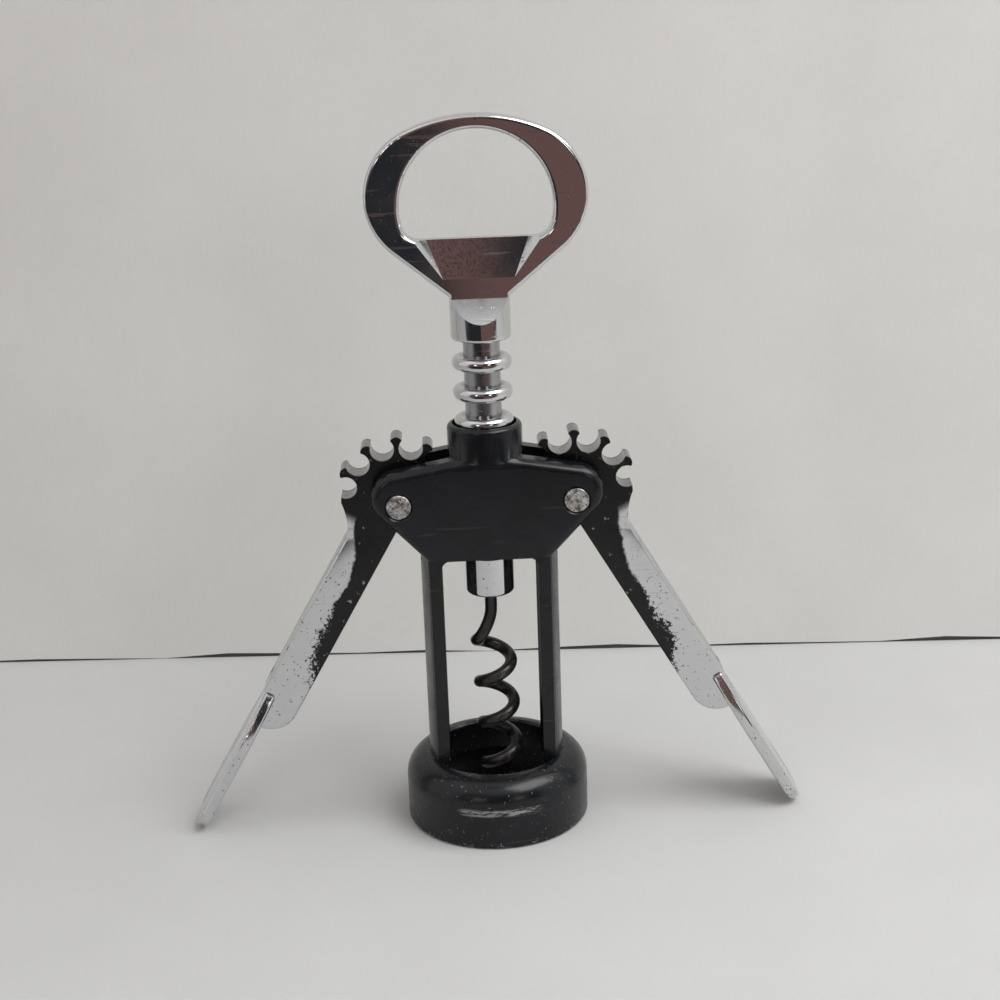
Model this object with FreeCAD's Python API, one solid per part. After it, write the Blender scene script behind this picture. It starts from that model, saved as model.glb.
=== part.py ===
import FreeCAD, Part
import math
import os

# Wing corkscrew. Millimetres, +Z up, +X right, the front faces -Y.
# The origin is on the table, under the middle of the bell.

# Clearances
RUN_GAP = 0.05          # shaft in a hole that it turns or slides in
SEAT_GAP = 0.02         # piece seated in a hole that it is fixed in
LEVER_SIDE_GAP = 0.5    # lever to each cheek of the head
HUB_SWEEP_GAP = 0.5     # gear tip to the bottom of the head's slot
GUIDE_GAP = 0.5         # rack rings to the guide bore

# Gear pair: the levers' teeth run in the rack's rings
MODULE = 2.0
GEAR_TEETH = 12
GEAR_TIP_R = 13.6
GEAR_ROOT_R = 9.0
HUB_WAIST = 6.8         # hub between the arm and the first tooth
BULB_R = 12.9
BULB_HALF_WIDTH = 1.2
STOP_TOOTH_R = 12.0
FIRST_TOOTH = -4
LAST_TOOTH = 2
PITCH_R = MODULE * GEAR_TEETH / 2
RING_PITCH = math.pi * MODULE
TOOTH_STEP_DEG = 360.0 / GEAR_TEETH

# Levers
PIVOT_X = 18.35
PIVOT_Z = 73.0
LEVER_THICK = 6.0
REST_DEG = 30.3         # lever to the vertical, as it stands in the photo
ARM_OUTER = 6.0         # arm edges, measured across the arm from the pivot
ARM_INNER = -2.75
ARM_END = 59.5          # along the arm from the pivot
ARM_END_ROUND = 6.0
STOP_FLANK = (7.9, 8.5)     # across and along: the flank under the stop tooth
ARM_START = 13.2
ARM_ROOT_GAP = 1.0      # rivet hole to where the arm's own plate begins
LEVER_EDGE_R = 0.5
PADDLE_START = 51.5
PADDLE_TIP = 86.0
PADDLE_INNER = 3.0
PADDLE_THICK = 2.4
PADDLE_WIDTH = 14.0
PADDLE_ROOT_WIDTH = 7.2
PADDLE_FLARE = 13.0
PADDLE_TIP_R = 4.5
PADDLE_EDGE_R = 0.7

# Rivets
RIVET_R = 2.6
RIVET_EDGE_R = 0.35
RIVET_SINK = 0.45

# Rack sleeve and its rings
RING_COUNT = 7
RING_R = 6.15
RING_HALF_THICK = 1.45
RING_EDGE_R = 1.25
CORE_R = 3.78
SHANK_R = 2.5

# Handle
HANDLE_THICK = 5.0
HANDLE_HEIGHT = 45.1        # boss's foot to the top of the loop
HANDLE_TOP_ARC_R = 33.2
HANDLE_TOP_WALL = 2.9       # loop above the finger hole
HANDLE_SIDE_R = 14.2
HANDLE_HALF_WIDTH = 22.4
HANDLE_FLANK_DEG = 39.5
HANDLE_EDGE_R = 0.9
HOLE_R = 15.4
HOLE_LIP_DROP = 6.3         # flat lip under the middle of the hole
HOLE_CORNER_R = 3.6
OPENER_DEPTH = 2.2
OPENER_HEIGHT = 7.8
OPENER_FOOT_HALF = 7.2
OPENER_LIP_HALF = 10.3
OPENER_MOUTH_HALF = 12.8
BOSS_R = 6.2
BOSS_GAP = 3.4              # top ring to the boss's foot
BOSS_EDGE_R = 0.7
BOSS_SLOPE_FOOT = 3.9       # boss's foot to where the flat faces have run out into it

# Ferrule, pin and worm
FERRULE_R = 5.15
FERRULE_BOTTOM_Z = 51.2
FERRULE_FLOOR = 2.6
FERRULE_EDGE_R = 0.9
FERRULE_GAP = 2.5       # lowest ring to the ferrule
PIN_R = 0.8
PIN_DROP = 2.0
WIRE_R = 1.3
WORM_R = 3.6
WORM_PITCH = 9.6
WORM_TOP_Z = 43.6
WORM_TURNS = 3.46
WORM_START_DEG = 315.0
WORM_DRIFT = 1.2        # how far the coil's last turn leans to +X
WORM_STEM_IN_SHANK = 2.6
WORM_LEAD = 6.6         # straight run over the ferrule's foot from which the wire is bent
WORM_BEND = 5.2         # from the straight run's end down to the top of the coil
WORM_POINT = 3.9        # length of the ground point
WORM_POINT_R = 0.15
WORM_JOIN = 0.5         # how far the stem and the point's cone start inside the wire

# Frame: head, collar, posts and bell in one casting
HEAD_DEPTH = 16.0
HEAD_BOTTOM_Z = 60.8
HEAD_FOOT_HALF = 13.0
HEAD_TOP_Z = 82.0
HEAD_EDGE_R = 1.8
LOBE_R = 5.4
LOBE_X = 18.6
LOBE_Z = 74.6
COLLAR_R = 7.8
COLLAR_TOP_Z = 88.5
COLLAR_EDGE_R = 1.0
POST_OUTER_R = 14.5
POST_WALL = 2.1
POST_WIDTH = 14.4
WINDOW_CORNER_R = 2.1
BELL_R = 19.7
BELL_HEIGHT = 14.9
BELL_TOP_LAND = 0.2         # flat ring between the shoulder and the mouth's chamfer
BELL_BORE_R = 15.6
BELL_BORE_DEPTH = 8.2
BELL_MOUTH_R = 13.8
BELL_LIP_R = 0.5
BELL_FOOT_R = 0.7

# Sizes that follow from the ones above
SLOT_WIDTH = LEVER_THICK + 2 * LEVER_SIDE_GAP
SLOT_R = GEAR_TIP_R + HUB_SWEEP_GAP
GUIDE_R = max(RING_R, BOSS_R) + GUIDE_GAP
FIRST_RING_Z = PIVOT_Z + 4.5 * RING_PITCH
LAST_RING_Z = FIRST_RING_Z - (RING_COUNT - 1) * RING_PITCH
FERRULE_TOP_Z = LAST_RING_Z - RING_HALF_THICK - FERRULE_GAP
BOSS_BOTTOM_Z = FIRST_RING_Z + RING_HALF_THICK + BOSS_GAP
HANDLE_TOP_Z = BOSS_BOTTOM_Z + HANDLE_HEIGHT
HOLE_Z = HANDLE_TOP_Z - HANDLE_TOP_WALL - HOLE_R
HOLE_LIP_Z = HOLE_Z - HOLE_LIP_DROP
OPENER_FOOT_Z = HOLE_LIP_Z - OPENER_HEIGHT
HANDLE_SIDE_X = HANDLE_HALF_WIDTH - HANDLE_SIDE_R
HANDLE_SIDE_Z = (HANDLE_TOP_Z - HANDLE_TOP_ARC_R
                 + math.sqrt((HANDLE_TOP_ARC_R - HANDLE_SIDE_R) ** 2 - HANDLE_SIDE_X ** 2))
NECK_HALF = math.sqrt(BOSS_R ** 2 - (HANDLE_THICK / 2) ** 2)
FLANK_TOP_X = HANDLE_SIDE_X + HANDLE_SIDE_R * math.sin(math.radians(HANDLE_FLANK_DEG))
FLANK_TOP_Z = HANDLE_SIDE_Z - HANDLE_SIDE_R * math.cos(math.radians(HANDLE_FLANK_DEG))
NECK_Z = FLANK_TOP_Z - (FLANK_TOP_X - NECK_HALF) * math.tan(math.radians(HANDLE_FLANK_DEG))
BELL_SHOULDER_R = BELL_R - BELL_MOUTH_R - BELL_LIP_R - BELL_TOP_LAND
SHANK_END_Z = FERRULE_BOTTOM_Z + FERRULE_FLOOR
X = FreeCAD.Vector(1, 0, 0)
Y = FreeCAD.Vector(0, 1, 0)
Z = FreeCAD.Vector(0, 0, 1)


def point(x, z, y=0.0):
    return FreeCAD.Vector(x, y, z)


def rod(radius, low, high):
    """Upright cylinder on the spindle's axis."""
    return Part.makeCylinder(radius, high - low, point(0, low), Z)


def cross_rod(radius, x, z, length):
    """Cylinder along Y, centred on the middle plane."""
    return Part.makeCylinder(radius, length, point(x, z, -length / 2), Y)


def block(x0, x1, y0, y1, z0, z1):
    return Part.makeBox(x1 - x0, y1 - y0, z1 - z0, FreeCAD.Vector(x0, y0, z0))


def plate(edges, thick):
    """Closed outline in the middle plane, thickened both ways along Y."""
    face = Part.Face(Part.Wire(edges))
    face.translate(FreeCAD.Vector(0, -thick / 2, 0))
    return face.extrude(FreeCAD.Vector(0, thick, 0))


def line(a, b):
    return Part.makeLine(point(*a), point(*b))


def arc(a, middle, b):
    return Part.Arc(point(*a), point(*middle), point(*b)).toShape()


def polar(angle_deg, radius):
    """Point at an angle from straight up, positive towards +X."""
    a = math.radians(angle_deg)
    return radius * math.sin(a), radius * math.cos(a)


def mirrored(shape):
    return shape.mirror(FreeCAD.Vector(0, 0, 0), X)


def face_edges(solid, half_depth):
    """Edges that lie wholly in the front or the back plane."""
    found = []
    for edge in solid.Edges:
        box = edge.BoundBox
        if abs(abs(box.YMin) - half_depth) < 1e-4 and box.YLength < 1e-4:
            found.append(edge)
    return found


def gear_plate():
    """Teeth, stop tooth and hub of a lever whose arm hangs straight down."""
    lean = math.degrees(math.atan2(BULB_HALF_WIDTH, BULB_R))
    angles = [k * TOOTH_STEP_DEG + REST_DEG for k in range(FIRST_TOOTH, LAST_TOOTH + 1)]
    valley = angles[0] - TOOTH_STEP_DEG / 2
    edges = [arc(polar(valley, GEAR_ROOT_R), polar(angles[0] - lean - 5.6, GEAR_ROOT_R + 1.1),
                 polar(angles[0] - lean, BULB_R))]
    for a in angles:
        edges.append(arc(polar(a - lean, BULB_R), polar(a, GEAR_TIP_R), polar(a + lean, BULB_R)))
        after = polar(a + TOOTH_STEP_DEG - lean, BULB_R)
        if a == angles[-1]:
            after = polar(a + TOOTH_STEP_DEG - lean, STOP_TOOTH_R)
        edges.append(arc(polar(a + lean, BULB_R), polar(a + TOOTH_STEP_DEG / 2, GEAR_ROOT_R), after))
    stop = angles[-1] + TOOTH_STEP_DEG
    edges.append(line(polar(stop - lean, STOP_TOOTH_R), polar(stop, STOP_TOOTH_R)))
    across, along = STOP_FLANK
    arm_top = (ARM_OUTER - LEVER_EDGE_R, -ARM_START)
    edges.append(arc(polar(stop, STOP_TOOTH_R), (across, -along), arm_top))
    hub_x = ARM_INNER + LEVER_EDGE_R
    hub_z = -math.sqrt(HUB_WAIST ** 2 - hub_x ** 2)
    edges.append(line(arm_top, (hub_x, -ARM_START)))
    edges.append(line((hub_x, -ARM_START), (hub_x, hub_z)))
    hub_angle = math.degrees(math.atan2(hub_x, hub_z))
    middle = polar((hub_angle + valley) / 2, (HUB_WAIST + GEAR_ROOT_R) / 2)
    edges.append(arc((hub_x, hub_z), middle, polar(valley, GEAR_ROOT_R)))
    return plate(edges, LEVER_THICK)


def arm_plate():
    """Straight arm with rounded edges, from inside the hub down to its round end."""
    inner = PADDLE_INNER + PADDLE_THICK / 2
    corner = (ARM_INNER, -ARM_END + ARM_END_ROUND)
    bend = ARM_END_ROUND * (1 - math.sqrt(0.5))
    top = -RIVET_R - ARM_ROOT_GAP
    edges = [
        line((ARM_OUTER, top), (ARM_OUTER, -PADDLE_START)),
        line((ARM_OUTER, -PADDLE_START), (inner, -PADDLE_START - 1.5)),
        line((inner, -PADDLE_START - 1.5), (inner, -ARM_END)),
        arc((inner, -ARM_END), (ARM_INNER + bend, -ARM_END + bend), corner),
        line(corner, (ARM_INNER, top)),
        line((ARM_INNER, top), (ARM_OUTER, top)),
    ]
    body = plate(edges, LEVER_THICK)
    return body.makeFillet(LEVER_EDGE_R, face_edges(body, LEVER_THICK / 2))


def paddle():
    """Push pad on the arm's end: a flat blade across the arm that flares from its root."""
    half = PADDLE_WIDTH / 2
    root = PADDLE_ROOT_WIDTH / 2
    top = -PADDLE_START
    wide = top - PADDLE_FLARE
    tip = -PADDLE_TIP

    def at(y, z):
        return FreeCAD.Vector(PADDLE_INNER, y, z)

    bend = PADDLE_TIP_R * (1 - math.sqrt(0.5))
    low = tip + PADDLE_TIP_R
    edges = [
        Part.makeLine(at(-root, top), at(root, top)),
        Part.Arc(at(root, top), at(root + (half - root) * 0.68, (top + wide) / 2), at(half, wide)).toShape(),
        Part.makeLine(at(half, wide), at(half, low)),
        Part.Arc(at(half, low), at(half - bend, tip + bend), at(half - PADDLE_TIP_R, tip)).toShape(),
        Part.makeLine(at(half - PADDLE_TIP_R, tip), at(PADDLE_TIP_R - half, tip)),
        Part.Arc(at(PADDLE_TIP_R - half, tip), at(bend - half, tip + bend), at(-half, low)).toShape(),
        Part.makeLine(at(-half, low), at(-half, wide)),
        Part.Arc(at(-half, wide), at(-root - (half - root) * 0.68, (top + wide) / 2), at(-root, top)).toShape(),
    ]
    blade = Part.Face(Part.Wire(edges)).extrude(FreeCAD.Vector(PADDLE_THICK, 0, 0))
    rims = [e for e in blade.Edges if e.BoundBox.XLength < 1e-4]
    return blade.makeFillet(PADDLE_EDGE_R, rims)


def right_lever():
    body = gear_plate().fuse(arm_plate()).fuse(paddle()).removeSplitter()
    body = body.cut(cross_rod(RIVET_R + RUN_GAP, 0, 0, 2 * LEVER_THICK))
    body.rotate(point(0, 0), Y, -REST_DEG)
    body.translate(point(PIVOT_X, PIVOT_Z))
    return body


def rivet(x):
    body = cross_rod(RIVET_R, x, PIVOT_Z, HEAD_DEPTH)
    return body.makeFillet(RIVET_EDGE_R, face_edges(body, HEAD_DEPTH / 2))


def ring(z):
    bead = rod(RING_R, z - RING_HALF_THICK, z + RING_HALF_THICK)
    rims = [e for e in bead.Edges if abs(e.BoundBox.ZLength) < 1e-4]
    return bead.makeFillet(RING_EDGE_R, rims)


def rack_sleeve():
    low = FERRULE_TOP_Z + RUN_GAP
    high = BOSS_BOTTOM_Z - RUN_GAP
    body = rod(CORE_R, low, high)
    for i in range(RING_COUNT):
        body = body.fuse(ring(FIRST_RING_Z - i * RING_PITCH))
    return body.cut(rod(SHANK_R + RUN_GAP, low - 1, high + 1))


def handle_outline():
    top_centre_z = HANDLE_TOP_Z - HANDLE_TOP_ARC_R
    reach = math.atan2(HANDLE_SIDE_X, HANDLE_SIDE_Z - top_centre_z)
    shoulder = (HANDLE_TOP_ARC_R * math.sin(reach), top_centre_z + HANDLE_TOP_ARC_R * math.cos(reach))
    foot = (FLANK_TOP_X, FLANK_TOP_Z)
    neck = (NECK_HALF, NECK_Z)
    side = (HANDLE_HALF_WIDTH, HANDLE_SIDE_Z)
    bottom = (NECK_HALF, BOSS_BOTTOM_Z + 2 * BOSS_EDGE_R)

    def flip(p):
        return -p[0], p[1]

    return [
        arc(flip(shoulder), (0, HANDLE_TOP_Z), shoulder),
        arc(shoulder, side, foot),
        line(foot, neck),
        line(neck, bottom),
        line(bottom, flip(bottom)),
        line(flip(bottom), flip(neck)),
        line(flip(neck), flip(foot)),
        arc(flip(foot), flip(side), flip(shoulder)),
    ]


def handle_hole():
    """D-shaped finger hole with its flat side down."""
    round_part = cross_rod(HOLE_R, 0, HOLE_Z, 3 * HANDLE_THICK)
    corner_z = HOLE_LIP_Z + HOLE_CORNER_R
    corner_x = math.sqrt((HOLE_R - HOLE_CORNER_R) ** 2 - (HOLE_Z - corner_z) ** 2)
    depth = 1.5 * HANDLE_THICK
    shape = round_part.common(block(-HOLE_R, HOLE_R, -depth, depth, corner_z, HOLE_Z + HOLE_R))
    low = block(-corner_x, corner_x, -depth, depth, HOLE_LIP_Z, corner_z)
    shape = shape.fuse(low)
    for x in (-corner_x, corner_x):
        shape = shape.fuse(cross_rod(HOLE_CORNER_R, x, corner_z, 2 * depth))
    return shape.removeSplitter()


def within_hole(box):
    slack = 0.1
    return (max(box.XMax, -box.XMin) < HOLE_R + slack and box.ZMin > HOLE_LIP_Z - slack
            and box.ZMax < HOLE_Z + HOLE_R + slack)


def opener_recess():
    """Wedge in the front face: no depth at its foot, full depth at the lip, sloping side walls."""
    front = -HANDLE_THICK / 2
    rise = (HOLE_LIP_Z - OPENER_FOOT_Z + HOLE_CORNER_R) / (HOLE_LIP_Z - OPENER_FOOT_Z)
    top_z = HOLE_LIP_Z + HOLE_CORNER_R
    floor_half = OPENER_FOOT_HALF + rise * (OPENER_LIP_HALF - OPENER_FOOT_HALF)
    deep = front + rise * OPENER_DEPTH
    out = front - 1.0
    spread = (OPENER_MOUTH_HALF - OPENER_LIP_HALF) / OPENER_DEPTH
    foot_out_half = OPENER_FOOT_HALF + spread
    top_out_half = floor_half + spread * (deep - out)

    def across(half, z, y):
        return [point(-half, z, y), point(half, z, y)]

    foot = across(OPENER_FOOT_HALF, OPENER_FOOT_Z, front)
    foot_out = across(foot_out_half, OPENER_FOOT_Z, out)
    top = across(floor_half, top_z, deep)
    top_out = across(top_out_half, top_z, out)
    rings = [
        [foot[0], foot[1], top[1], top[0]],
        [foot_out[0], foot_out[1], foot[1], foot[0]],
        [top[0], top[1], top_out[1], top_out[0]],
        [foot_out[0], foot_out[1], top_out[1], top_out[0]],
        [foot[0], top[0], top_out[0], foot_out[0]],
        [foot[1], top[1], top_out[1], foot_out[1]],
    ]
    faces = [Part.Face(Part.makePolygon(r + r[:1])) for r in rings]
    return Part.makeSolid(Part.makeShell(faces))


def boss_slopes():
    """What the flat faces cut away from the boss, front and back, down to its side."""
    face = HANDLE_THICK / 2
    low = BOSS_BOTTOM_Z + BOSS_SLOPE_FOOT
    high = NECK_Z + BOSS_R
    corners = [
        point(0, low, -BOSS_R),
        point(0, NECK_Z, -face),
        point(0, high, -face),
        point(0, high, -2 * BOSS_R),
        point(0, low, -2 * BOSS_R),
    ]
    wedge = Part.Face(Part.makePolygon(corners + corners[:1]))
    wedge.translate(FreeCAD.Vector(-2 * BOSS_R, 0, 0))
    front = wedge.extrude(FreeCAD.Vector(4 * BOSS_R, 0, 0))
    return front, front.mirror(FreeCAD.Vector(0, 0, 0), Y)


def handle():
    loop = plate(handle_outline(), HANDLE_THICK)
    rims = [e for e in face_edges(loop, HANDLE_THICK / 2) if e.BoundBox.ZMax > NECK_Z + BOSS_EDGE_R]
    loop = loop.makeFillet(HANDLE_EDGE_R, rims).cut(handle_hole())
    rims = [e for e in face_edges(loop, HANDLE_THICK / 2) if within_hole(e.BoundBox)]
    loop = loop.makeFillet(HANDLE_EDGE_R, rims).cut(opener_recess())
    boss = rod(BOSS_R, BOSS_BOTTOM_Z, NECK_Z)
    rim = [e for e in boss.Edges if e.BoundBox.ZMax < BOSS_BOTTOM_Z + 1e-4]
    boss = boss.makeFillet(BOSS_EDGE_R, rim)
    for slope in boss_slopes():
        boss = boss.cut(slope)
    shank = rod(SHANK_R, SHANK_END_Z, BOSS_BOTTOM_Z + BOSS_EDGE_R)
    socket = rod(WIRE_R + SEAT_GAP, SHANK_END_Z - 1, SHANK_END_Z + WORM_STEM_IN_SHANK + SEAT_GAP)
    body = loop.fuse(boss).fuse(shank).removeSplitter()
    return body.cut(socket).cut(pin_shape(SEAT_GAP))


def pin_shape(gap):
    z = FERRULE_TOP_Z - PIN_DROP
    length = 2 * FERRULE_R
    return Part.makeCylinder(PIN_R + gap, length, point(-length / 2, z), X)


def ferrule():
    body = rod(FERRULE_R, FERRULE_BOTTOM_Z, FERRULE_TOP_Z)
    rim = [e for e in body.Edges if e.BoundBox.ZMax < FERRULE_BOTTOM_Z + 1e-4]
    body = body.makeFillet(FERRULE_EDGE_R, rim)
    body = body.cut(rod(SHANK_R + SEAT_GAP, SHANK_END_Z - SEAT_GAP, FERRULE_TOP_Z + 1))
    body = body.cut(rod(WIRE_R + SEAT_GAP, FERRULE_BOTTOM_Z - 1, SHANK_END_Z + 1))
    return body.cut(pin_shape(SEAT_GAP))


def ferrule_pin():
    trim = rod(FERRULE_R, FERRULE_BOTTOM_Z, FERRULE_TOP_Z)
    return pin_shape(0.0).common(trim)


def worm_point_at(turn):
    """Centre of the wire, a number of turns below the top of the coil."""
    a = math.radians(WORM_START_DEG) - 2 * math.pi * turn
    x = WORM_R * math.cos(a) + WORM_DRIFT * turn / WORM_TURNS
    return point(x, WORM_TOP_Z - WORM_PITCH * turn, WORM_R * math.sin(a))


def worm():
    """Straight stem, bend and right-handed coil of wire, with a cone for its point."""
    points = [point(0, FERRULE_BOTTOM_Z + WORM_LEAD), point(0, FERRULE_BOTTOM_Z), point(0, WORM_TOP_Z + WORM_BEND)]
    samples_per_turn = 16
    first = 0.16
    count = int(samples_per_turn * (WORM_TURNS - first))
    for i in range(count + 1):
        points.append(worm_point_at(first + (WORM_TURNS - first) * i / count))
    curve = Part.BSplineCurve()
    curve.interpolate(points)
    path = Part.Wire(curve.toShape())
    section = Part.Wire(Part.makeCircle(WIRE_R, points[0], Z))
    wire = path.makePipeShell([section], True, True)
    reach = 2 * WORM_R
    coil = wire.cut(block(-reach, reach, -reach, reach, FERRULE_BOTTOM_Z, points[0].z + WIRE_R))
    stem = rod(WIRE_R - RUN_GAP, FERRULE_BOTTOM_Z - WORM_JOIN, SHANK_END_Z + WORM_STEM_IN_SHANK)
    tangent = curve.tangent(curve.LastParameter)[0]
    tip = Part.makeCone(WIRE_R - RUN_GAP, WORM_POINT_R, WORM_POINT, points[-1] - tangent * WORM_JOIN, tangent)
    return coil.fuse(stem).fuse(tip)


def head_outline():
    dx = LOBE_X - HEAD_FOOT_HALF
    dz = LOBE_Z - HEAD_BOTTOM_Z
    away = math.hypot(dx, dz)
    run = math.sqrt(away ** 2 - LOBE_R ** 2)
    slope = math.atan2(dz, dx) - math.asin(LOBE_R / away)
    foot = (HEAD_FOOT_HALF + run * math.cos(slope), HEAD_BOTTOM_Z + run * math.sin(slope))
    rise = HEAD_TOP_Z - LOBE_Z
    inset = LOBE_X - COLLAR_R
    away = math.hypot(inset, rise)
    lean = math.atan2(rise, -inset) - math.acos(LOBE_R / away)
    crest = (LOBE_X + LOBE_R * math.cos(lean), LOBE_Z + LOBE_R * math.sin(lean))
    side = (LOBE_X + LOBE_R, LOBE_Z)
    right = [(HEAD_FOOT_HALF, HEAD_BOTTOM_Z), foot, crest, (COLLAR_R, HEAD_TOP_Z)]
    left = [(-x, z) for x, z in right]
    return [
        line(left[0], right[0]),
        line(right[0], right[1]),
        arc(right[1], side, right[2]),
        line(right[2], right[3]),
        line(right[3], left[3]),
        line(left[3], left[2]),
        arc(left[2], (-side[0], side[1]), left[1]),
        line(left[1], left[0]),
    ]


def posts():
    low = BELL_BORE_DEPTH
    high = HEAD_BOTTOM_Z + 1.0
    tube = rod(POST_OUTER_R, low, high).cut(rod(POST_OUTER_R - POST_WALL, low - 1, high + 1))
    half = POST_WIDTH / 2
    strip = block(-BELL_R, BELL_R, -half, half, low, high)
    return [solid for solid in tube.common(strip).Solids]


def bell():
    centre_r = BELL_R - BELL_SHOULDER_R
    centre_z = BELL_HEIGHT - BELL_SHOULDER_R
    bend = BELL_SHOULDER_R * math.sqrt(0.5)
    edges = [
        line((BELL_BORE_R, 0), (BELL_R - BELL_FOOT_R, 0)),
        line((BELL_R - BELL_FOOT_R, 0), (BELL_R, BELL_FOOT_R)),
        line((BELL_R, BELL_FOOT_R), (BELL_R, centre_z)),
        arc((BELL_R, centre_z), (centre_r + bend, centre_z + bend), (centre_r, BELL_HEIGHT)),
        line((centre_r, BELL_HEIGHT), (BELL_MOUTH_R + BELL_LIP_R, BELL_HEIGHT)),
        line((BELL_MOUTH_R + BELL_LIP_R, BELL_HEIGHT), (BELL_MOUTH_R, BELL_HEIGHT - BELL_LIP_R)),
        line((BELL_MOUTH_R, BELL_HEIGHT - BELL_LIP_R), (BELL_MOUTH_R, BELL_BORE_DEPTH)),
        line((BELL_MOUTH_R, BELL_BORE_DEPTH), (BELL_BORE_R, BELL_BORE_DEPTH)),
        line((BELL_BORE_R, BELL_BORE_DEPTH), (BELL_BORE_R, 0)),
    ]
    return Part.Face(Part.Wire(edges)).revolve(point(0, 0), Z, 360)


def window_corners():
    """Round inner corners where the posts run into the head's underside."""
    inner = POST_OUTER_R - POST_WALL
    start = inner - WINDOW_CORNER_R
    low = HEAD_BOTTOM_Z - WINDOW_CORNER_R
    bend = WINDOW_CORNER_R * math.sqrt(0.5)
    root = POST_WALL / 4
    edges = [
        arc((start, HEAD_BOTTOM_Z), (start + bend, low + bend), (inner, low)),
        line((inner, low), (inner + root, low)),
        line((inner + root, low), (inner + root, HEAD_BOTTOM_Z + root)),
        line((inner + root, HEAD_BOTTOM_Z + root), (start, HEAD_BOTTOM_Z + root)),
        line((start, HEAD_BOTTOM_Z + root), (start, HEAD_BOTTOM_Z)),
    ]
    ring_web = Part.Face(Part.Wire(edges)).revolve(point(0, 0), Z, 360)
    half = POST_WIDTH / 2
    return ring_web.common(block(-BELL_R, BELL_R, -half, half, low - 1, HEAD_BOTTOM_Z + 2))


def frame():
    head = plate(head_outline(), HEAD_DEPTH)
    rounded = [e for e in face_edges(head, HEAD_DEPTH / 2) if e.BoundBox.ZMax > HEAD_BOTTOM_Z + 0.1]
    head = head.makeFillet(HEAD_EDGE_R, rounded)
    body = head
    for post in posts():
        body = body.fuse(post)
    body = body.fuse(window_corners())
    collar = rod(COLLAR_R, HEAD_BOTTOM_Z + 4, COLLAR_TOP_Z)
    rim = [e for e in collar.Edges if e.BoundBox.ZMin > COLLAR_TOP_Z - 1e-4]
    collar = collar.makeFillet(COLLAR_EDGE_R, rim)
    body = body.fuse(collar).fuse(bell())
    body = body.cut(rod(GUIDE_R, HEAD_BOTTOM_Z - 1, COLLAR_TOP_Z + 1))
    for x in (-PIVOT_X, PIVOT_X):
        body = body.cut(cross_rod(SLOT_R, x, PIVOT_Z, SLOT_WIDTH))
        body = body.cut(cross_rod(RIVET_R + SEAT_GAP, x, PIVOT_Z, 2 * HEAD_DEPTH))
        for side in (-1, 1):
            mouth = point(x, PIVOT_Z, side * HEAD_DEPTH / 2)
            sink = Part.makeCone(RIVET_R + SEAT_GAP + RIVET_SINK, RIVET_R + SEAT_GAP, RIVET_SINK,
                                 mouth, FreeCAD.Vector(0, -side, 0))
            body = body.cut(sink)
    return body.removeSplitter()


lever = right_lever()
pieces = {
    "frame": frame(),
    "right_lever": lever,
    "left_lever": mirrored(lever),
    "right_pivot_rivet": rivet(PIVOT_X),
    "left_pivot_rivet": rivet(-PIVOT_X),
    "opener_handle": handle(),
    "rack_sleeve": rack_sleeve(),
    "worm_ferrule": ferrule(),
    "ferrule_pin": ferrule_pin(),
    "worm": worm(),
}

os.makedirs("parts", exist_ok=True)
for name, shape in pieces.items():
    box = shape.BoundBox
    print(name, shape.isValid(), len(shape.Solids), round(shape.Volume, 1),
          [round(v, 2) for v in (box.XMin, box.XMax, box.YMin, box.YMax, box.ZMin, box.ZMax)])
    shape.exportStep("parts/" + name + ".step")
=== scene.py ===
import math

import bmesh
import bpy
from mathutils import Matrix, Vector
from mathutils.geometry import interpolate_bezier


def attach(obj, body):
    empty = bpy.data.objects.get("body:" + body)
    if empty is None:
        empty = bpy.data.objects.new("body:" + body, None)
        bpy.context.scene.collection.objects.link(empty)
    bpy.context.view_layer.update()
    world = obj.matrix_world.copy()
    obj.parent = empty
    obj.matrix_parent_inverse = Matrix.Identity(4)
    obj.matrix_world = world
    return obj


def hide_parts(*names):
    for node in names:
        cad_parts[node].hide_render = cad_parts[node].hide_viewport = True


# Looks of the wing corkscrew. Metres, +Z up, the front faces -Y.

MM = 0.001

# Camera, as fitted to the photograph
LENS = 64.8
CAMERA_TARGET = (2.70, 0.0, 71.29)
CAMERA_DISTANCE = 377.6
CAMERA_PITCH = math.radians(17.58)
CAMERA_YAW = math.radians(1.37)
CAMERA_ROLL = math.radians(-2.04)

# Stage
WALL_Y = 90.3
WALL_TURN = math.radians(-3.2)
WALL_HEIGHT = 900
FLOOR_FRONT = -335
STAGE_HALF_WIDTH = 700
SEAM_WIDTH = 0.8
PAPER_EDGE = 235

# Handle: foot and lip of the opener's recess, and its front face
OPENER_FOOT_Z = 118.82
HOLE_LIP_Z = 126.62
HANDLE_FRONT = -2.5
SLOPE_AREA = 6e-6

# Levers: pivot and lean, as they stand
PIVOT_X = 18.35
PIVOT_Z = 73.0
REST = math.radians(30.3)

# Bell: the strip on its shoulder where the paint is worn
WORN_LOW = 8.0
WORN_HIGH = 8.8
WORN_HALF_WIDTH = 6.8

# Worm
WIRE_R = 1.3
WORM_R = 3.6
WORM_PITCH = 9.6
WORM_TOP = 43.6
WORM_TURNS = 3.46
WORM_START = math.radians(315)
WORM_DRIFT = 1.2
WORM_STEM_TOP = 56.4
WORM_STEM_END = 47.4
WORM_FIRST = 0.33
BEND_REACH = 3.2
WORM_TAPER = 4.4
COIL_STEPS = 90
LINE_SAMPLES = 620
WIRE_SIDES = 20

# Degrees over which an edge stays sharp or is rounded, and the rounding of the levers' edges
SHARP_SOLID = 30
SHARP_WIRE = 50
SHARP_EDGE = 35
LEVER_EDGE = 0.3

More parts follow.
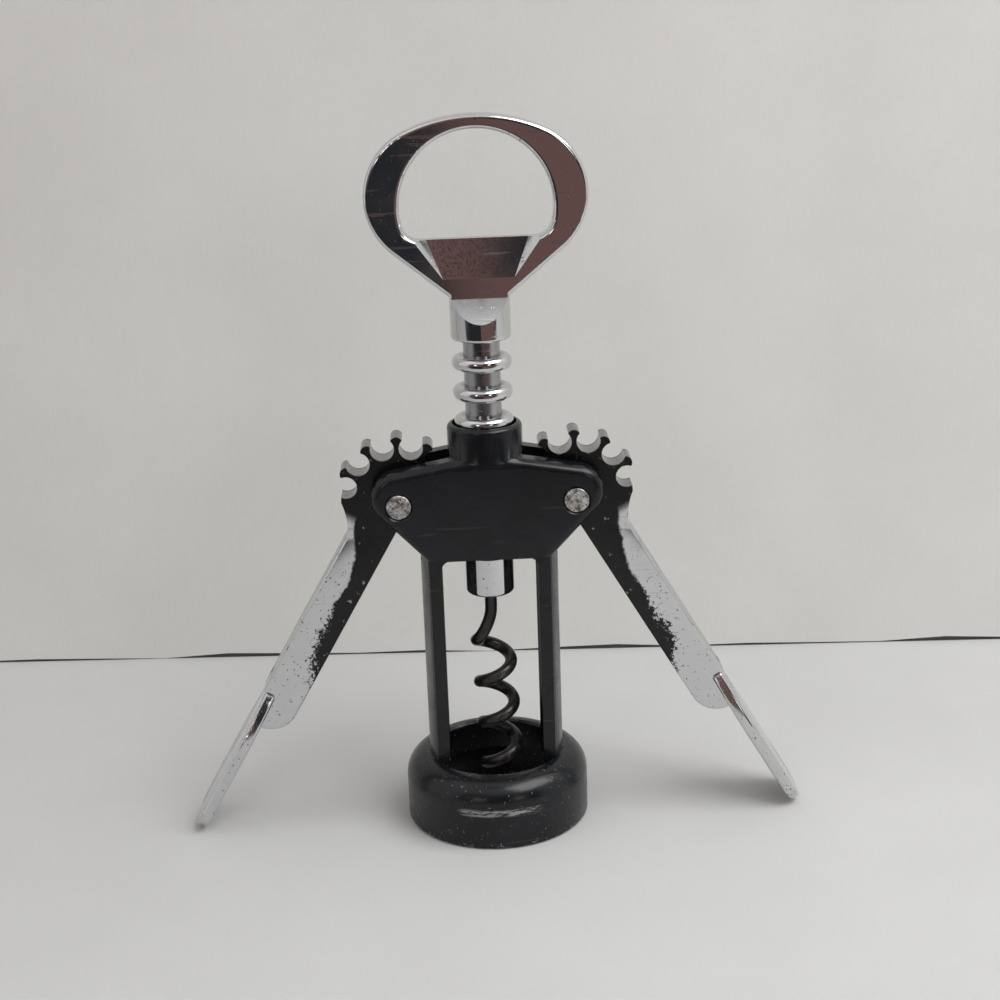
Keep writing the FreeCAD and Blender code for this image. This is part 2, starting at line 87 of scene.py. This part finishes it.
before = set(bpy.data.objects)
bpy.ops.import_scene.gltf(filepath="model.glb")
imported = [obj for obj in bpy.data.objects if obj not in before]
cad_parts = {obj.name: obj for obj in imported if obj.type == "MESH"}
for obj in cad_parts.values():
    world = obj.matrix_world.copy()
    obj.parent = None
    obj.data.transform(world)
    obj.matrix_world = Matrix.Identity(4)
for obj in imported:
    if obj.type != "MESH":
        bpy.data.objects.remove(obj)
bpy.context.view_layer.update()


def add(tree, kind, values=None, **settings):
    """New node, with its settings and with values or links for its sockets."""
    made = tree.nodes.new(kind)
    for name, value in settings.items():
        setattr(made, name, value)
    for socket, value in (values or {}).items():
        target = made.inputs[socket]
        if isinstance(value, bpy.types.NodeSocket):
            tree.links.new(value, target)
        else:
            target.default_value = value
    return made


def maths(tree, operation, a, b=0.0, clamp=False):
    made = add(tree, "ShaderNodeMath", {0: a, 1: b}, operation=operation, use_clamp=clamp)
    return made.outputs[0]


def rise(tree, value, low, high, start=0.0, end=1.0):
    """Smooth step from start to end as value goes from low to high."""
    made = add(tree, "ShaderNodeMapRange", {0: value, 1: low, 2: high, 3: start, 4: end},
               interpolation_type="SMOOTHSTEP")
    return made.outputs[0]


def band(tree, value, low, high, soft):
    """One between low and high, falling to nothing over soft on each side."""
    up = rise(tree, value, low - soft, low)
    down = rise(tree, value, high, high + soft, 1.0, 0.0)
    return maths(tree, "MULTIPLY", up, down)


def blend(tree, factor, a, b):
    made = add(tree, "ShaderNodeMix", {0: factor, 6: a, 7: b}, data_type="RGBA")
    return made.outputs[2]


def noise(tree, place, scale, detail=3.0, roughness=0.5):
    made = add(tree, "ShaderNodeTexNoise",
               {"Vector": place, "Scale": scale, "Detail": detail, "Roughness": roughness})
    return made.outputs["Fac"]


def stretched(tree, place, scale, turn=(0.0, 0.0, 0.0)):
    made = add(tree, "ShaderNodeMapping", {"Vector": place, "Rotation": turn, "Scale": scale})
    return made.outputs[0]


def any_of(tree, *masks):
    """The largest of several masks."""
    total = masks[0]
    for mask in masks[1:]:
        total = maths(tree, "MAXIMUM", total, mask)
    return total


def all_of(tree, *masks):
    """The product of several masks."""
    total = masks[0]
    for mask in masks[1:]:
        total = maths(tree, "MULTIPLY", total, mask)
    return total


def spots(tree, place, scale, size, detail=2.0):
    """Scattered irregular spots: more and larger ones as size grows."""
    return rise(tree, noise(tree, place, scale, detail, 0.6), 0.72 - size, 0.76 - size)


def scratches(tree, place, turn, scale, width):
    """Fine straight lines along one direction."""
    along = stretched(tree, place, (scale * 0.06, scale * 0.06, scale), turn)
    return rise(tree, noise(tree, along, 1.0, 1.0, 0.4), 0.70 - width, 0.73 - width)


def new_material(name):
    material = bpy.data.materials.new(name)
    material.use_nodes = True
    tree = material.node_tree
    shader = tree.nodes["Principled BSDF"]
    place = tree.nodes.new("ShaderNodeTexCoord").outputs["Object"]
    return material, tree, shader, place


def bump(tree, shader, height, distance, strength=1.0):
    made = add(tree, "ShaderNodeBump", {"Height": height, "Distance": distance, "Strength": strength})
    tree.links.new(made.outputs[0], shader.inputs["Normal"])


def axes(tree, place):
    made = add(tree, "ShaderNodeSeparateXYZ", {0: place})
    return made.outputs[0], made.outputs[1], made.outputs[2]


def radius_of(tree, place):
    """Distance from the spindle's axis."""
    x, y, z = axes(tree, place)
    flat = add(tree, "ShaderNodeCombineXYZ", {0: x, 1: y, 2: 0.0})
    return add(tree, "ShaderNodeVectorMath", {0: flat.outputs[0]}, operation="LENGTH").outputs["Value"]


# Materials

def black_paint():
    """Semi-gloss black on a casting: pale wear on the bell's shoulder, chips and fine scratches."""
    material, tree, shader, place = new_material("black_paint")
    x, y, z = axes(tree, place)
    radius = radius_of(tree, place)
    patches = noise(tree, place, 90.0, 4.0)
    fine = noise(tree, place, 1400.0, 2.0)
    shoulder = band(tree, z, WORN_LOW * MM, WORN_HIGH * MM, 0.0006)
    rim = rise(tree, radius, 0.0168, 0.0182)
    front = band(tree, x, -WORN_HALF_WIDTH * MM, WORN_HALF_WIDTH * MM, 0.0025)
    facing = rise(tree, y, -0.009, -0.014)
    worn = all_of(tree, shoulder, rim, front, facing)
    streaks = noise(tree, stretched(tree, place, (260.0, 260.0, 1500.0)), 1.0, 4.0, 0.7)
    worn = maths(tree, "MULTIPLY", worn, rise(tree, streaks, 0.40, 0.56))
    foot = rise(tree, z, 0.0016, 0.0004)
    chips = maths(tree, "MULTIPLY", foot, spots(tree, place, 900.0, 0.16))
    low = rise(tree, z, 0.020, 0.014)
    flecks = maths(tree, "MULTIPLY", low, spots(tree, place, 1300.0, 0.05))
    lines = scratches(tree, place, (0.3, 0.9, 0.4), 900.0, 0.0)
    bare = any_of(tree, maths(tree, "MULTIPLY", worn, 0.95), maths(tree, "MULTIPLY", chips, 0.5),
                  maths(tree, "MULTIPLY", flecks, 0.35), maths(tree, "MULTIPLY", lines, 0.04))
    paint = blend(tree, rise(tree, patches, 0.35, 0.7), (0.0048, 0.0056, 0.0072, 1),
                  (0.0078, 0.0088, 0.0110, 1))
    colour = blend(tree, bare, paint, (0.30, 0.30, 0.31, 1))
    tree.links.new(colour, shader.inputs["Base Color"])
    rough = rise(tree, noise(tree, place, 240.0, 3.0), 0.3, 0.75, 0.20, 0.30)
    rough = maths(tree, "ADD", rough, maths(tree, "MULTIPLY", bare, 0.15))
    tree.links.new(rough, shader.inputs["Roughness"])
    shader.inputs["Specular IOR Level"].default_value = 0.34
    height = maths(tree, "ADD", maths(tree, "MULTIPLY", fine, 0.35), maths(tree, "MULTIPLY", bare, -0.8))
    bump(tree, shader, height, 0.00003, 0.6)
    return material


def chrome(name, dull=None, pits=0.0, rough=0.09):
    """Bright plating with pits and hairline scratches; dull says where the plating is drawn dark: worn and
    pitted places, the grooves between rings, and on the levers a painted dark reflection.
    """
    material, tree, shader, place = new_material(name)
    shader.inputs["Metallic"].default_value = 1.0
    haze = noise(tree, place, 160.0, 4.0, 0.6)
    hairs = any_of(tree, scratches(tree, place, (0.2, 0.5, 0.0), 1500.0, 0.01),
                   scratches(tree, place, (1.1, -0.7, 0.3), 1300.0, 0.0))
    pocks = spots(tree, place, 1500.0, pits)
    base = blend(tree, pocks, (0.63, 0.63, 0.64, 1), (0.10, 0.095, 0.09, 1))
    level = rise(tree, haze, 0.3, 0.75, rough * 0.8, rough * 1.6)
    level = maths(tree, "ADD", level, maths(tree, "MULTIPLY", hairs, 0.10))
    level = maths(tree, "ADD", level, maths(tree, "MULTIPLY", pocks, 0.30))
    if dull is not None:
        where = dull(tree, place)
        base = blend(tree, where, base, (0.035, 0.034, 0.035, 1))
        level = maths(tree, "ADD", level, maths(tree, "MULTIPLY", where, 0.18))
    tree.links.new(base, shader.inputs["Base Color"])
    tree.links.new(level, shader.inputs["Roughness"])
    height = maths(tree, "ADD", maths(tree, "MULTIPLY", haze, 0.5), maths(tree, "MULTIPLY", pocks, -1.0))
    height = maths(tree, "ADD", height, maths(tree, "MULTIPLY", hairs, -0.25))
    bump(tree, shader, height, 0.000015, 0.5)
    return material


def lever_wear_and_dark_reflection(side):
    """Dark over the gear and along the arm's inner half, thinning out down the arm: partly corroded,
    speckled plating, partly a painted dark reflection of the room; the sides take a lesser share, as
    painted shade.
    """
    def where(tree, place):
        x, y, z = axes(tree, place)
        out = maths(tree, "SUBTRACT", maths(tree, "MULTIPLY", x, float(side)), PIVOT_X * MM)
        up = maths(tree, "SUBTRACT", z, PIVOT_Z * MM)
        across = maths(tree, "ADD", maths(tree, "MULTIPLY", out, math.cos(REST)),
                       maths(tree, "MULTIPLY", up, math.sin(REST)))
        along = maths(tree, "SUBTRACT", maths(tree, "MULTIPLY", out, math.sin(REST)),
                      maths(tree, "MULTIPLY", up, math.cos(REST)))
        edge = maths(tree, "ADD", rise(tree, along, 0.020, 0.005, 0.0012, 0.0062),
                     rise(tree, along, 0.034, 0.052, 0.0, -0.0052))
        wavy = maths(tree, "MULTIPLY", maths(tree, "SUBTRACT", noise(tree, place, 150.0, 2.0), 0.5), 0.0030)
        grain = maths(tree, "SUBTRACT", noise(tree, place, 1500.0, 4.0, 0.75), 0.5)
        grain = maths(tree, "MULTIPLY", grain, rise(tree, along, 0.020, 0.040, 0.0015, 0.0110))
        depth = maths(tree, "SUBTRACT", maths(tree, "ADD", maths(tree, "ADD", edge, wavy), grain), across)
        inner = rise(tree, depth, -0.0003, 0.0004)
        gear = rise(tree, along, 0.0095, 0.0070)
        dark = any_of(tree, inner, gear)
        flecks = any_of(tree, spots(tree, place, 620.0, 0.08, 5.0), spots(tree, place, 170.0, 0.03, 5.0))
        left_dark = maths(tree, "SUBTRACT", 1.0, maths(tree, "MULTIPLY", flecks, 0.45))
        # Full dark on the front and back faces, a lesser share on the sides: painted shade that outlines
        # the teeth.
        face = rise(tree, maths(tree, "ABSOLUTE", y), 0.0023, 0.0027, 0.55, 1.0)
        return all_of(tree, dark, left_dark, face)
    return where


def recess_pits(tree, place):
    """Fine pits and a dull film on the recess's floor, where caps have rubbed."""
    x, y, z = axes(tree, place)
    sunk = rise(tree, y, (HANDLE_FRONT + 0.02) * MM, (HANDLE_FRONT + 0.25) * MM)
    tall = band(tree, z, OPENER_FOOT_Z * MM, HOLE_LIP_Z * MM, 0.0002)
    wide = rise(tree, maths(tree, "ABSOLUTE", x), 0.0100, 0.0090)
    pits = rise(tree, noise(tree, place, 1500.0, 5.0, 0.8), 0.50, 0.60)
    return all_of(tree, sunk, tall, wide, pits, 0.5)


def ring_valleys(tree, place):
    """Darker plating deep in the grooves between the rings."""
    radius = radius_of(tree, place)
    deep = rise(tree, radius, 0.0050, 0.0039)
    return maths(tree, "MULTIPLY", deep, 0.45)


def rivet_steel():
    """Bare steel head: turned marks, dents and dark pits."""
    material, tree, shader, place = new_material("rivet_steel")
    shader.inputs["Metallic"].default_value = 1.0
    rough_patches = noise(tree, place, 620.0, 5.0, 0.7)
    pocks = spots(tree, place, 1600.0, 0.12)
    scuffed = rise(tree, rough_patches, 0.35, 0.65)
    base = blend(tree, scuffed, (0.13, 0.125, 0.12, 1), (0.80, 0.79, 0.77, 1))
    tree.links.new(blend(tree, pocks, base, (0.09, 0.08, 0.075, 1)), shader.inputs["Base Color"])
    tree.links.new(rise(tree, rough_patches, 0.3, 0.7, 0.22, 0.48), shader.inputs["Roughness"])
    height = maths(tree, "SUBTRACT", rough_patches, maths(tree, "MULTIPLY", pocks, 0.6))
    bump(tree, shader, height, 0.00012, 0.9)
    return material


def pin_steel():
    material, tree, shader, place = new_material("pin_steel")
    shader.inputs["Metallic"].default_value = 1.0
    grain = noise(tree, place, 1800.0, 2.0)
    base = blend(tree, grain, (0.35, 0.35, 0.35, 1), (0.55, 0.55, 0.55, 1))
    tree.links.new(base, shader.inputs["Base Color"])
    tree.links.new(rise(tree, grain, 0.3, 0.7, 0.25, 0.4), shader.inputs["Roughness"])
    return material


def worm_black():
    """Black finish with a brown tint, rubbed along the outside of the coil and bare at the point."""
    material, tree, shader, place = new_material("worm_black")
    z = axes(tree, place)[2]
    tone = noise(tree, place, 260.0, 4.0, 0.6)
    base = blend(tree, rise(tree, tone, 0.35, 0.7), (0.0085, 0.008, 0.008, 1), (0.020, 0.016, 0.014, 1))
    outside = rise(tree, radius_of(tree, place), 0.0044, 0.0049)
    rubbed = maths(tree, "MULTIPLY", outside, rise(tree, noise(tree, place, 700.0, 4.0, 0.7), 0.5, 0.7))
    point = rise(tree, z, 0.0108, 0.0088)
    bare = any_of(tree, maths(tree, "MULTIPLY", rubbed, 0.35), maths(tree, "MULTIPLY", point, 0.5))
    tree.links.new(blend(tree, bare, base, (0.22, 0.20, 0.19, 1)), shader.inputs["Base Color"])
    tree.links.new(rise(tree, tone, 0.3, 0.7, 0.26, 0.40), shader.inputs["Roughness"])
    bump(tree, shader, noise(tree, place, 1500.0, 3.0), 0.00004, 0.6)
    return material


def paper(name, colour, tint, scale):
    """Pale paper of the floor and the wall, with faint blotches and fibres."""
    material, tree, shader, place = new_material(name)
    cloud = noise(tree, place, scale, 4.0, 0.6)
    fibre = noise(tree, stretched(tree, place, (1400.0, 1400.0, 420.0)), 1.0, 3.0, 0.6)
    shade = maths(tree, "ADD", maths(tree, "MULTIPLY", cloud, 0.75), maths(tree, "MULTIPLY", fibre, 0.25))
    tree.links.new(blend(tree, rise(tree, shade, 0.3, 0.7), colour, tint), shader.inputs["Base Color"])
    shader.inputs["Roughness"].default_value = 0.75
    bump(tree, shader, fibre, 0.00005, 0.35)
    return material, tree, shader, place


def show(tree, made):
    """Puts a shader node's result on the surface."""
    tree.links.new(made.outputs[0], tree.nodes["Material Output"].inputs["Surface"])


def floor_paper():
    """The plating mirrors the paper only near the object, and the dark room beyond its front edge."""
    material, tree, shader, spot = paper("floor_paper", (0.50, 0.50, 0.495, 1), (0.55, 0.55, 0.545, 1), 9.0)
    y = axes(tree, spot)[1]
    beyond = rise(tree, y, -PAPER_EDGE * MM, -(PAPER_EDGE + 40) * MM)
    mirrored = tree.nodes.new("ShaderNodeLightPath").outputs["Is Glossy Ray"]
    dark = add(tree, "ShaderNodeBsdfDiffuse", {"Color": (0.03, 0.03, 0.035, 1)})
    share = maths(tree, "MULTIPLY", beyond, mirrored)
    show(tree, add(tree, "ShaderNodeMixShader", {0: share, 1: shader.outputs[0], 2: dark.outputs[0]}))
    return material


def wall_paper():
    """Seen from behind, the wall lets the view through, so that it never hides the object."""
    material, tree, shader, spot = paper("wall_paper", (0.71, 0.705, 0.68, 1), (0.77, 0.765, 0.74, 1), 14.0)
    behind = tree.nodes.new("ShaderNodeNewGeometry").outputs["Backfacing"]
    clear = tree.nodes.new("ShaderNodeBsdfTransparent").outputs[0]
    show(tree, add(tree, "ShaderNodeMixShader", {0: behind, 1: shader.outputs[0], 2: clear}))
    return material


# Pieces

def linked(name, data):
    """New object with this data, in the scene."""
    made = bpy.data.objects.new(name, data)
    bpy.context.scene.collection.objects.link(made)
    return made


def evaluated_mesh(item):
    """What the object's modifiers make of it, as a mesh."""
    bpy.context.view_layer.update()
    graph = bpy.context.evaluated_depsgraph_get()
    return bpy.data.meshes.new_from_object(item.evaluated_get(graph), depsgraph=graph)


def smooth_shaded(mesh, sharp_degrees):
    """Smooth shading, broken at edges sharper than this."""
    for polygon in mesh.polygons:
        polygon.use_smooth = True
    mesh.set_sharp_from_angle(angle=math.radians(sharp_degrees))


def finished_copy(node, name):
    """The solid's own mesh, merged and smoothed, as a piece that stands for it."""
    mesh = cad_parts[node].data.copy()
    mesh.name = name
    shape = bmesh.new()
    shape.from_mesh(mesh)
    bmesh.ops.remove_doubles(shape, verts=shape.verts, dist=2e-6)
    bmesh.ops.dissolve_limit(shape, angle_limit=math.radians(0.3), verts=shape.verts, edges=shape.edges)
    shape.to_mesh(mesh)
    shape.free()
    mesh.materials.clear()
    smooth_shaded(mesh, SHARP_SOLID)
    piece = linked(name, mesh)
    weighted = piece.modifiers.new("weighted normals", "WEIGHTED_NORMAL")
    weighted.keep_sharp = True
    weighted.weight = 100
    return piece


def softened(piece, width_mm):
    """Rounds the sharp edges that the solid has."""
    bevel = piece.modifiers.new("edge round", "BEVEL")
    bevel.width = width_mm * MM
    bevel.segments = 2
    bevel.limit_method = "ANGLE"
    bevel.angle_limit = math.radians(SHARP_EDGE)
    bevel.harden_normals = True
    mesh = evaluated_mesh(piece)
    piece.modifiers.clear()
    piece.data = mesh
    return piece


def flat_slopes(piece):
    """Plain shading for the large leaning faces: the recess and the boss's slopes."""
    for polygon in piece.data.polygons:
        if polygon.area > SLOPE_AREA and 0.3 < abs(polygon.normal.y) < 0.98:
            polygon.use_smooth = False
    return piece


def stand_in(piece, node, body, material):
    """The piece stands for a node, rides on its body and gets its finish."""
    piece.data.materials.clear()
    piece.data.materials.append(material)
    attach(piece, body)
    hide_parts(node)


def length_socket(tree, name, value):
    socket = tree.interface.new_socket(name, in_out="INPUT", socket_type="NodeSocketFloat")
    socket.default_value = value
    return socket.identifier


def baked(source, name):
    """Plain mesh object of what the source's modifiers make; the source is removed."""
    mesh = evaluated_mesh(source)
    mesh.name = name
    bpy.data.objects.remove(source)
    shape = bmesh.new()
    shape.from_mesh(mesh)
    bmesh.ops.remove_doubles(shape, verts=shape.verts, dist=2e-6)
    bmesh.ops.recalc_face_normals(shape, faces=shape.faces)
    shape.to_mesh(mesh)
    shape.free()
    smooth_shaded(mesh, SHARP_WIRE)
    return linked(name, mesh)


def coil_point(turn):
    a = WORM_START - 2 * math.pi * turn
    x = WORM_R * math.cos(a) + WORM_DRIFT * turn / WORM_TURNS
    return Vector((x, WORM_R * math.sin(a), WORM_TOP - WORM_PITCH * turn)) * MM


def worm_line():
    """Centre line of the wire: straight stem, smooth bend, right-handed coil and its straight point."""
    stem_end = Vector((0, 0, WORM_STEM_END)) * MM
    start = coil_point(WORM_FIRST)
    into_coil = (coil_point(WORM_FIRST + 0.01) - start).normalized()
    points = [Vector((0, 0, WORM_STEM_TOP * MM)).lerp(stem_end, i / 6) for i in range(6)]
    points += interpolate_bezier(stem_end, stem_end - Vector((0, 0, BEND_REACH * MM)),
                                 start - into_coil * BEND_REACH * MM, start, 10)[:-1]
    coil = WORM_TURNS - WORM_FIRST
    points += [coil_point(WORM_FIRST + coil * i / COIL_STEPS) for i in range(COIL_STEPS + 1)]
    last = (points[-1] - points[-2]).normalized()
    points += [points[-1] + last * WORM_TAPER * MM * share for share in (0.17, 0.35, 0.5)]
    return points


def make_worm(material):
    """Wire swept along its line by Geometry Nodes, thinning to a point at its end."""
    points = worm_line()
    line = bpy.data.curves.new("worm_line", "CURVE")
    line.dimensions = "3D"
    spline = line.splines.new("NURBS")
    spline.points.add(len(points) - 1)
    for target, point in zip(spline.points, points):
        target.co = (*point, 1.0)
    spline.order_u = 4
    spline.use_endpoint_u = True
    source = linked("worm_source", line)

    tree = bpy.data.node_groups.new("swept wire", "GeometryNodeTree")
    tree.interface.new_socket("Geometry", in_out="INPUT", socket_type="NodeSocketGeometry")
    tree.interface.new_socket("Geometry", in_out="OUTPUT", socket_type="NodeSocketGeometry")
    wire = length_socket(tree, "Wire radius", WIRE_R * MM)
    taper = length_socket(tree, "Taper length", WORM_TAPER * MM)
    inputs = tree.nodes.new("NodeGroupInput")
    resampled = add(tree, "GeometryNodeResampleCurve", {"Curve": inputs.outputs[0], "Count": LINE_SAMPLES})
    measure = tree.nodes.new("GeometryNodeSplineParameter")
    total = tree.nodes.new("GeometryNodeSplineLength")
    left = maths(tree, "SUBTRACT", total.outputs["Length"], measure.outputs["Length"])
    share = maths(tree, "DIVIDE", left, inputs.outputs[2])
    thin = add(tree, "ShaderNodeMapRange", {0: share, 1: 0.0, 2: 1.0, 3: 0.12, 4: 1.0})
    radius = maths(tree, "MULTIPLY", thin.outputs[0], inputs.outputs[1])
    sized = add(tree, "GeometryNodeSetCurveRadius", {"Curve": resampled.outputs[0], "Radius": radius})
    circle = add(tree, "GeometryNodeCurvePrimitiveCircle", {"Resolution": WIRE_SIDES, "Radius": 1.0})
    swept = add(tree, "GeometryNodeCurveToMesh",
                {"Curve": sized.outputs[0], "Profile Curve": circle.outputs[0], "Fill Caps": True})
    if "Scale" in swept.inputs:
        tree.links.new(radius, swept.inputs["Scale"])
    painted = add(tree, "GeometryNodeSetMaterial", {"Geometry": swept.outputs[0], "Material": material})
    output = tree.nodes.new("NodeGroupOutput")
    tree.links.new(painted.outputs[0], output.inputs[0])

    modifier = source.modifiers.new("swept wire", "NODES")
    modifier.node_group = tree
    modifier[wire] = WIRE_R * MM
    modifier[taper] = WORM_TAPER * MM
    return baked(source, "worm_wire")


# Stage, lights and camera

def make_floor(material):
    mesh = bpy.data.meshes.new("floor")
    wide = STAGE_HALF_WIDTH * MM
    front = FLOOR_FRONT * MM
    back = (WALL_Y + 45) * MM
    corners = [(-wide, front, 0), (wide, front, 0), (wide, back, 0), (-wide, back, 0)]
    mesh.from_pydata(corners, [], [(0, 1, 2, 3)])
    mesh.materials.append(material)
    linked("floor", mesh)


def make_wall(material):
    """Upright sheet behind the object, whose foot leaves a thin dark gap over the floor."""
    mesh = bpy.data.meshes.new("wall")
    wide = STAGE_HALF_WIDTH * MM
    steps = 80
    verts = []
    for i in range(steps + 1):
        x = -wide + 2 * wide * i / steps
        gap = (0.9 + 0.5 * math.sin(i * 2.3) + 0.35 * math.sin(i * 5.1 + 1.0)) * SEAM_WIDTH * MM
        verts += [(x, 0, gap), (x, 0, WALL_HEIGHT * MM)]
    faces = [(2 * i, 2 * i + 2, 2 * i + 3, 2 * i + 1) for i in range(steps)]
    mesh.from_pydata(verts, [], faces)
    mesh.transform(Matrix.Translation((0, WALL_Y * MM, 0)) @ Matrix.Rotation(WALL_TURN, 4, "Z"))
    mesh.materials.append(material)
    linked("wall", mesh)


def make_seam_shadow(material):
    """Dark strip just behind the wall's foot, seen through the gap: a painted shadow along the seam."""
    mesh = bpy.data.meshes.new("seam")
    wide = STAGE_HALF_WIDTH * MM
    top = 6 * MM
    corners = [(-wide, 0, 0), (wide, 0, 0), (wide, 0, top), (-wide, 0, top)]
    mesh.from_pydata(corners, [], [(0, 1, 2, 3)])
    mesh.transform(Matrix.Translation((0, (WALL_Y + 0.4) * MM, 0)) @ Matrix.Rotation(WALL_TURN, 4, "Z"))
    mesh.materials.append(material)
    linked("seam", mesh)


def make_world():
    """Room that the plating mirrors: dark in front, brown to the right of it, a pale ceiling above."""
    world = bpy.data.worlds.new("room")
    bpy.context.scene.world = world
    world.use_nodes = True
    tree = world.node_tree
    tree.nodes.clear()
    direction = tree.nodes.new("ShaderNodeTexCoord").outputs["Generated"]
    x, y, z = axes(tree, direction)
    high = rise(tree, z, -0.12, 0.02)
    right = rise(tree, x, -0.012, 0.016)
    left = rise(tree, x, 0.034, 0.016)
    brown = maths(tree, "ADD", maths(tree, "MULTIPLY", left, high),
                  maths(tree, "MULTIPLY", right, maths(tree, "SUBTRACT", 1.0, high)), clamp=True)
    front = blend(tree, brown, (0.022, 0.027, 0.031, 1), (0.175, 0.102, 0.092, 1))
    forward = rise(tree, y, -0.50, -0.66)
    room = blend(tree, forward, (0.72, 0.72, 0.72, 1), front)
    overhead = rise(tree, z, 0.42, 0.80)
    lit = blend(tree, overhead, room, (0.95, 0.95, 0.94, 1))
    beam = all_of(tree, rise(tree, z, 0.9065, 0.9105), rise(tree, y, -0.15, -0.25))
    roof = blend(tree, beam, lit, (0.24, 0.245, 0.25, 1))
    aside = band(tree, maths(tree, "ABSOLUTE", x), 0.37, 0.47, 0.05)
    window = all_of(tree, aside, band(tree, z, 0.16, 0.30, 0.07), forward)
    seen = blend(tree, window, roof, (3.0, 3.0, 3.0, 1))
    camera = tree.nodes.new("ShaderNodeLightPath").outputs["Is Camera Ray"]
    shown = blend(tree, camera, seen, (0.58, 0.58, 0.57, 1))
    background = add(tree, "ShaderNodeBackground", {"Color": shown, "Strength": 1.0})
    output = tree.nodes.new("ShaderNodeOutputWorld")
    tree.links.new(background.outputs[0], output.inputs[0])


def area_light(name, place_mm, aim_mm, size_mm, power):
    data = bpy.data.lights.new(name, "AREA")
    data.shape = "RECTANGLE"
    data.size = size_mm[0] * MM
    data.size_y = size_mm[1] * MM
    data.energy = power
    lamp = linked(name, data)
    lamp.location = Vector(place_mm) * MM
    aim = (Vector(aim_mm) - Vector(place_mm)).normalized()
    lamp.rotation_euler = aim.to_track_quat("-Z", "Y").to_euler()


def make_camera():
    data = bpy.data.cameras.new("camera")
    data.lens = LENS
    data.sensor_width = 36.0
    data.clip_start = 0.01
    camera = linked("camera", data)
    yaw = Matrix.Rotation(-CAMERA_YAW, 4, "Z")
    back = Vector((0, -math.cos(CAMERA_PITCH), math.sin(CAMERA_PITCH))) * CAMERA_DISTANCE
    spot = yaw @ ((Vector(CAMERA_TARGET) + back) * MM)
    tilt = Matrix.Rotation(math.pi / 2 - CAMERA_PITCH, 4, "X")
    camera.matrix_world = Matrix.Translation(spot) @ yaw @ tilt @ Matrix.Rotation(CAMERA_ROLL, 4, "Z")
    bpy.context.scene.camera = camera


paint = black_paint()
steel = rivet_steel()
# The levers' dark plating is partly corrosion and partly a painted dark reflection.
lever_plating = {side: chrome("lever_chrome_" + word, lever_wear_and_dark_reflection(side), 0.06, 0.10)
                 for side, word in ((1, "right"), (-1, "left"))}
handle_plating = chrome("handle_chrome", recess_pits, 0.03, 0.07)
rack_plating = chrome("rack_chrome", ring_valleys, 0.02, 0.08)

casting = finished_copy("frame", "frame_casting")
stand_in(casting, "frame", "frame", paint)
loop = flat_slopes(finished_copy("opener_handle", "handle_casting"))
stand_in(loop, "opener_handle", "spindle", handle_plating)
right_arm = softened(finished_copy("right_lever", "right_lever_forging"), LEVER_EDGE)
stand_in(right_arm, "right_lever", "right_lever", lever_plating[1])
left_arm = softened(finished_copy("left_lever", "left_lever_forging"), LEVER_EDGE)
stand_in(left_arm, "left_lever", "left_lever", lever_plating[-1])
sleeve = finished_copy("rack_sleeve", "ringed_sleeve")
stand_in(sleeve, "rack_sleeve", "rack", rack_plating)
collar = finished_copy("worm_ferrule", "ferrule_collar")
stand_in(collar, "worm_ferrule", "spindle", rack_plating)
wire_finish = worm_black()
stand_in(make_worm(wire_finish), "worm", "spindle", wire_finish)
right_head = finished_copy("right_pivot_rivet", "right_rivet_head")
stand_in(right_head, "right_pivot_rivet", "frame", steel)
left_head = finished_copy("left_pivot_rivet", "left_rivet_head")
stand_in(left_head, "left_pivot_rivet", "frame", steel)
cross_pin = finished_copy("ferrule_pin", "ferrule_cross_pin")
stand_in(cross_pin, "ferrule_pin", "spindle", pin_steel())

make_floor(floor_paper())
make_wall(wall_paper())
# Painted shadow: a near-black strip behind the wall's foot.
make_seam_shadow(paper("seam_shadow", (0.03, 0.03, 0.03, 1), (0.05, 0.05, 0.05, 1), 40.0)[0])
make_world()
area_light("overhead_window", (340, -200, 600), (0, 0, 60), (520, 380), 3.3)
make_camera()
bpy.context.scene.view_settings.view_transform = "Standard"
